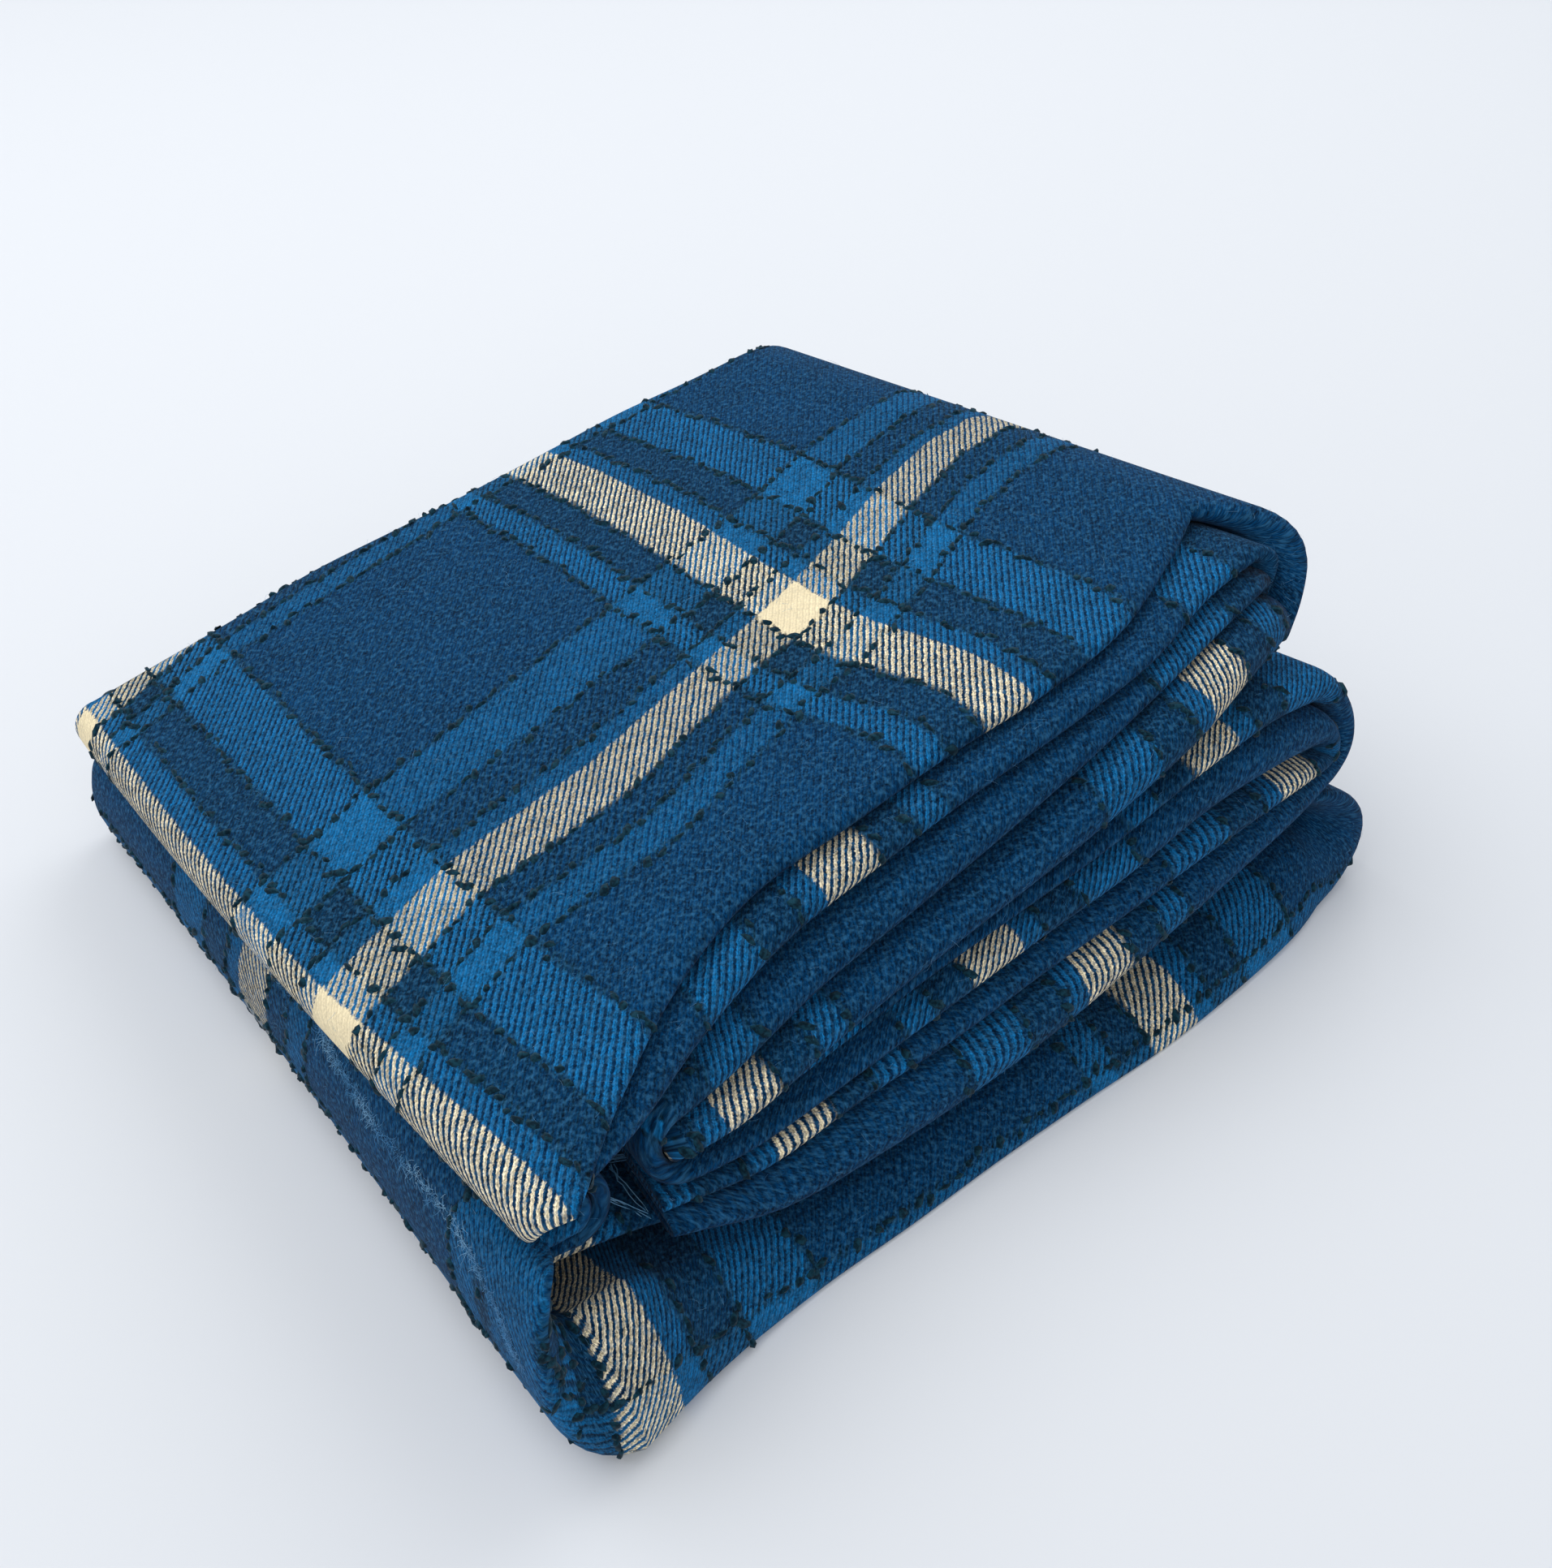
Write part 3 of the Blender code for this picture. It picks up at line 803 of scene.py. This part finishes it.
def slubPlaces():
    # where each lump's own place in the check falls on the folded cloth
    found = []
    flat = check.reshape(-1, 2)
    place = ((points - middle) * mm).reshape(-1, 3)
    n = check.shape[1]
    cell = (np.arange(check.shape[0] - 1)[:, None] * n + np.arange(n - 1)[None, :]).ravel()
    halves = (np.stack([cell, cell + n, cell + n + 1], 1), np.stack([cell, cell + n + 1, cell + 1], 1))
    for corners in halves:
        for which in (0, 1):
            a, b = flat[corners, which], flat[corners, 1 - which]
            whole = (np.ptp(a, axis=1) < slubs["widestCell"]) & (np.ptp(b, axis=1) < slubs["widestCell"])
            for number, line in enumerate(slubLines):
                turn = np.ceil((a.min(axis=1) - slubs["asideReach"] - line) / sett["repeat"])
                value = line + turn * sett["repeat"]
                hit = np.flatnonzero(whole & (value <= a.max(axis=1) + slubs["asideReach"]))
                for k in hit:
                    low = math.ceil((b[k].min() - slubs["alongReach"]) / slubs["pitch"])
                    high = math.floor((b[k].max() + slubs["alongReach"]) / slubs["pitch"])
                    for step in range(low, high + 1):
                        seed = scatter(step, number, turn[k], which)
                        if seed < slubs["missing"]:
                            continue
                        other = (seed * 57.31) % 1.0
                        aside = slubs["strayFar"] * (other - 0.5) ** 3 + slubs["strayNear"] * (other - 0.5)
                        goal = np.array([value[k] + aside, (step + slubs["jitter"] * (seed - 0.5)) * slubs["pitch"]])
                        sides = np.array([a[k, 1:] - a[k, 0], b[k, 1:] - b[k, 0]])
                        if abs(np.linalg.det(sides)) < slubs["flattest"]:
                            continue
                        s, t = np.linalg.solve(sides, goal - np.array([a[k, 0], b[k, 0]]))
                        if s < 0 or t < 0 or s + t > 1:
                            continue
                        p = place[corners[k]]
                        spot = p[0] + s * (p[1] - p[0]) + t * (p[2] - p[0])
                        normal = np.cross(p[1] - p[0], p[2] - p[0])
                        # the way along the line on the cloth
                        way = np.linalg.inv(sides) @ np.array([0.0, 1.0])
                        run = way[0] * (p[1] - p[0]) + way[1] * (p[2] - p[0])
                        found.append((spot, normal, run))
    return found


def clothTree():
    place = (points - middle) * mm
    n = place.shape[1]
    cell = (np.arange(place.shape[0] - 1)[:, None] * n + np.arange(n - 1)[None, :]).ravel()
    quads = np.stack([cell, cell + n, cell + n + 1, cell + 1], 1)
    return BVHTree.FromPolygons([Vector(p) for p in place.reshape(-1, 3)], quads.tolist())


def between(name, share):
    low, high = slubs[name]
    return low + (high - low) * share


def lumpShape(length, width, high):
    # a low dome: a top point over two rings
    corners, faces = [(0.0, 0.0, high)], []
    sides = 7
    for ring, (out, up) in enumerate(((0.55, 0.72), (1.0, -0.25))):
        for k in range(sides):
            a = 2 * math.pi * (k + 0.5 * ring) / sides
            corners.append((0.5 * length * out * math.cos(a), 0.5 * width * out * math.sin(a), high * up))
    for k in range(sides):
        after = (k + 1) % sides
        faces.append((0, 1 + k, 1 + after))
        faces.append((1 + k, 1 + sides + k, 1 + after))
        faces.append((1 + after, 1 + sides + k, 1 + sides + after))
    return np.array(corners), faces


def makeSlubs(tree):
    vertices, faces = [], []
    half = 0.5 * stack["thickness"] * mm
    for spot, normal, run in slubPlaces():
        normal = Vector(normal).normalized()
        run = Vector(run)
        run = (run - normal * run.dot(normal)).normalized()
        for side in (1, -1):
            up = normal * side
            start = Vector(spot) + up * (half + 0.0004)
            if tree.ray_cast(start, up, slubs["clearOf"])[0] is not None:
                continue
            a, b, c = chance.random(3)
            length, width, high = between("length", a), between("width", b), between("height", c)
            shape, shapeFaces = lumpShape(length * mm, width * mm, high * mm)
            lean = slubs["leanSpread"] * (b - 0.5) + slubs["lean"]
            cross = up.cross(run)
            forward = run * math.cos(lean) + cross * math.sin(lean)
            cross = up.cross(forward)
            base = len(vertices)
            wobble = 1 + slubs["wobble"] * (chance.random(len(shape)) - 0.5)
            lump = [
                Vector(spot) + up * (half + corner[2] * w) + forward * corner[0] * w + cross * corner[1] * w
                for corner, w in zip(shape, wobble)
            ]
            if min(p.z for p in lump) < slubs["overTable"]:
                continue
            vertices += lump
            faces += [tuple(base + i for i in f) for f in shapeFaces]
    mesh = bpy.data.meshes.new("slubYarn")
    mesh.from_pydata(vertices, [], faces)
    mesh.shade_smooth()
    mesh.materials.append(plainMaterial("slub yarn", srgb(6, 30, 42), srgb(22, 62, 78), 0.95, 900.0, 0.1))
    lumps = bpy.data.objects.new("slubYarn", mesh)
    bpy.context.collection.objects.link(lumps)
    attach(lumps, "root")
    print("slubs:", len(faces), "triangles")
    return lumps


tree = clothTree()
slubYarn = makeSlubs(tree)

# loose fibres, the frayed crease and the threads in the hollow
loose = {
    "tries": 45000,            # places tried for a fibre, of which the open ones get it
    "length": (1.4, 4.0),
    "width": 0.055,
    "lift": 0.9,
    "twist": 0.3,
    "clearOf": 20.0,
    "overTable": 6.0,
    "offCloth": 0.4,
    # the worn line runs along the left side, from back to front
    "crease": [
        (-138, 19, 57), (-138, 0, 50), (-138, -18, 40), (-139, -45, 38),
        (-139, -80, 42), (-142, -104, 38), (-143, -113, 32),
    ],
    "creaseSpread": 0.7,
    "creaseLength": (1.0, 4.0),
    "creaseWidth": 0.09,
    "creaseLift": 0.8,
    "creaseFacing": (-0.9, 0.0, 0.43),
    "creaseFibres": 1500,
    "threads": [
        [(-101, -82, 29), (-98, -88, 35), (-98, -93, 41), (-97, -99, 49)],
        [(-101, -84, 29), (-102, -90, 30), (-102, -99, 30)],
        [(-98, -89, 31), (-100, -98, 36), (-99, -106, 40)],
        [(-115, -97, 47), (-107, -93, 32), (-103, -100, 30)],
    ],
    "strands": 5,
    "threadOver": 1.2,
    "threadWidth": 0.28,
    "threadFacing": (-0.4, -0.5, 0.8),
}


def ribbon(vertices, faces, line, width, facing):
    # a flat strip along the line, thinner to its end
    base = len(vertices)
    for k, p in enumerate(line):
        along = line[min(k + 1, len(line) - 1)] - line[max(k - 1, 0)]
        side = along.cross(facing).normalized() * (0.5 * width * (1 - 0.5 * k / len(line)))
        vertices += [p - side, p + side]
    for k in range(len(line) - 1):
        a = base + 2 * k
        faces.append((a, a + 1, a + 3, a + 2))


def fibreLine(spot, up, length, lift):
    # a curved hair that starts on the cloth
    flat = Vector(chance.normal(size=3))
    flat = (flat - up * flat.dot(up)).normalized()
    turn = up.cross(flat)
    curl = chance.normal() * 0.35
    rise = lift * chance.random()
    return [
        spot + flat * length * t + turn * length * curl * t * t + up * rise * math.sin(2.2 * t)
        for t in (0.0, 0.35, 0.7, 1.0)
    ]


def addMesh(name, vertices, faces, colour, other, rough):
    mesh = bpy.data.meshes.new(name)
    mesh.from_pydata(vertices, [], faces)
    mesh.shade_smooth()
    mesh.materials.append(plainMaterial(name, colour, other, rough, 60.0, 0.1))
    made = bpy.data.objects.new(name, mesh)
    bpy.context.collection.objects.link(made)
    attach(made, "root")
    print(name + ":", 2 * len(faces), "triangles")
    return made


def makeFibres(tree):
    place = (points - middle) * mm
    vertices, faces = [], []
    half = 0.5 * stack["thickness"] * mm
    corner = [place[:-1, :-1], place[1:, :-1], place[:-1, 1:]]
    cross = np.cross(corner[1] - corner[0], corner[2] - corner[0])
    area = np.linalg.norm(cross, axis=2).ravel()
    picked = chance.choice(len(area), loose["tries"], p=area / area.sum())
    rows, columns = np.unravel_index(picked, cross.shape[:2])
    for i, j in zip(rows, columns):
        a, b = chance.random(2)
        here, along, beside = (c[i, j] for c in corner)
        spot = here + a * (along - here) + b * (beside - here)
        normal = Vector(cross[i, j]).normalized() * (1 if chance.random() < 0.5 else -1)
        start = Vector(spot) + normal * half
        low = start.z < loose["overTable"] * mm
        off = start + normal * loose["offCloth"] * mm
        if low or tree.ray_cast(off, normal, loose["clearOf"] * mm)[0] is not None:
            continue
        low, high = loose["length"]
        length = (low + (high - low) * chance.random() ** 2) * mm
        line = fibreLine(start, normal, length, loose["lift"] * mm)
        facing = normal + Vector(chance.normal(size=3)) * loose["twist"]
        ribbon(vertices, faces, line, loose["width"] * mm, facing)
    return addMesh("fibres", vertices, faces, srgb(40, 96, 140), srgb(112, 158, 192), 0.9)


def makeFray(tree):
    # the worn line down the left ridge and the loose ends in the front hollow
    vertices, faces = [], []
    line = [Vector(p) * mm for p in loose["crease"]]
    for k in range(loose["creaseFibres"]):
        at = chance.random() * (len(line) - 1)
        low = min(int(at), len(line) - 2)
        aside = Vector(chance.normal(size=3)) * loose["creaseSpread"] * mm
        spot = line[low].lerp(line[low + 1], at - low) + aside
        near, normal = tree.find_nearest(spot)[:2]
        normal = normal if normal.dot(Vector(loose["creaseFacing"])) > 0 else -normal
        start = near + normal * 0.5 * stack["thickness"] * mm
        shortest, longest = loose["creaseLength"]
        length = (shortest + (longest - shortest) * chance.random() ** 2) * mm
        hair = fibreLine(start, normal, length, loose["creaseLift"] * mm)
        facing = normal + Vector(chance.normal(size=3)) * loose["twist"]
        ribbon(vertices, faces, hair, loose["creaseWidth"] * mm, facing)
    for way in loose["threads"]:
        for strand in range(loose["strands"]):
            shift = Vector(chance.normal(size=3)) * 0.0005
            bent = [Vector(p) * mm + shift + Vector(chance.normal(size=3)) * 0.0004 for p in way]
            smooth = []
            for a, b in zip(bent[:-1], bent[1:]):
                smooth += [a.lerp(b, t) for t in (0.0, 0.33, 0.66)]
            smooth.append(bent[-1])
            over = Vector((0.0, 0.0, loose["threadOver"] * mm))
            smooth = [p + over + Vector(chance.normal(size=3)) * 0.0002 for p in smooth]
            ribbon(vertices, faces, smooth, loose["threadWidth"] * mm, Vector(loose["threadFacing"]))
    return addMesh("frayedYarn", vertices, faces, srgb(70, 130, 178), srgb(136, 182, 214), 0.9)


fibres = makeFibres(tree)
frayedYarn = makeFray(tree)

view = {
    "centre": (-0.1938, -0.2566, 0.3409),
    "right": (0.7716, -0.6361, 0.0),
    "up": (0.4419, 0.536, 0.7193),
    "lens": 34.47,
}


def addCamera():
    right, up = Vector(view["right"]).normalized(), Vector(view["up"]).normalized()
    back = right.cross(up).normalized()
    data = bpy.data.cameras.new("camera")
    data.lens, data.sensor_width = view["lens"], 36.0
    camera = bpy.data.objects.new("camera", data)
    centre = Vector(view["centre"]) - Vector(middle) * mm
    camera.matrix_world = Matrix.Translation(centre) @ Matrix((right, up, back)).transposed().to_4x4()
    bpy.context.collection.objects.link(camera)
    bpy.context.scene.camera = camera


room = {
    "floorColour": srgb(226, 229, 233),
    "world": srgb(228, 231, 236),
    "worldStrength": 0.68,
    "size": 3.0,
    "flat": 1.6,               # how far the table runs before it sweeps up
    "wall": 1.2,
    "bend": 1.0,
    "lights": [
        # place, size, watts
        ((-0.6, 0.9, 1.6), 1.6, 19.0),
        ((1.1, 0.5, 1.3), 1.2, 8.0),
        ((-0.5, -1.2, 1.2), 1.4, 4.0),
    ],
}


def addRoom():
    size, flat, wall, bend = room["size"], room["flat"], room["wall"], room["bend"]
    mesh = bpy.data.meshes.new("floor")
    b = bmesh.new()
    profile = [(-size, 0.0), (flat, 0.0)]
    for a in np.linspace(0.1, 0.5 * math.pi, 12):
        profile.append((flat + bend * math.sin(a), bend - bend * math.cos(a)))
    profile.append((flat + bend, bend + wall))
    facing = Vector((0.4576, 0.5551, 0)).normalized()
    side = Vector((facing.y, -facing.x, 0))
    left = [b.verts.new(facing * d + side * -size + Vector((0, 0, z))) for d, z in profile]
    right = [b.verts.new(facing * d + side * size + Vector((0, 0, z))) for d, z in profile]
    for k in range(len(profile) - 1):
        face = b.faces.new((left[k], right[k], right[k + 1], left[k + 1]))
        face.smooth = True
    b.to_mesh(mesh)
    b.free()
    floor = bpy.data.objects.new("floor", mesh)
    bpy.context.collection.objects.link(floor)
    m = Maker("pale table", 0.6)
    m.shader.inputs["Base Color"].default_value = room["floorColour"]
    mesh.materials.append(m.material)
    world = bpy.data.worlds.new("soft room")
    world.use_nodes = True
    background = world.node_tree.nodes["Background"]
    background.inputs["Color"].default_value = room["world"]
    background.inputs["Strength"].default_value = room["worldStrength"]
    bpy.context.scene.world = world
    for k, (place, size, watts) in enumerate(room["lights"]):
        data = bpy.data.lights.new("soft" + str(k), "AREA")
        data.size, data.energy = size, watts
        lamp = bpy.data.objects.new("soft" + str(k), data)
        lamp.location = place
        lamp.rotation_euler = (Vector((0, 0, 0.05)) - Vector(place)).to_track_quat("-Z", "Y").to_euler()
        bpy.context.collection.objects.link(lamp)


addCamera()
addRoom()
bpy.context.scene.view_settings.view_transform = "Standard"
print("camera, floor and light made")
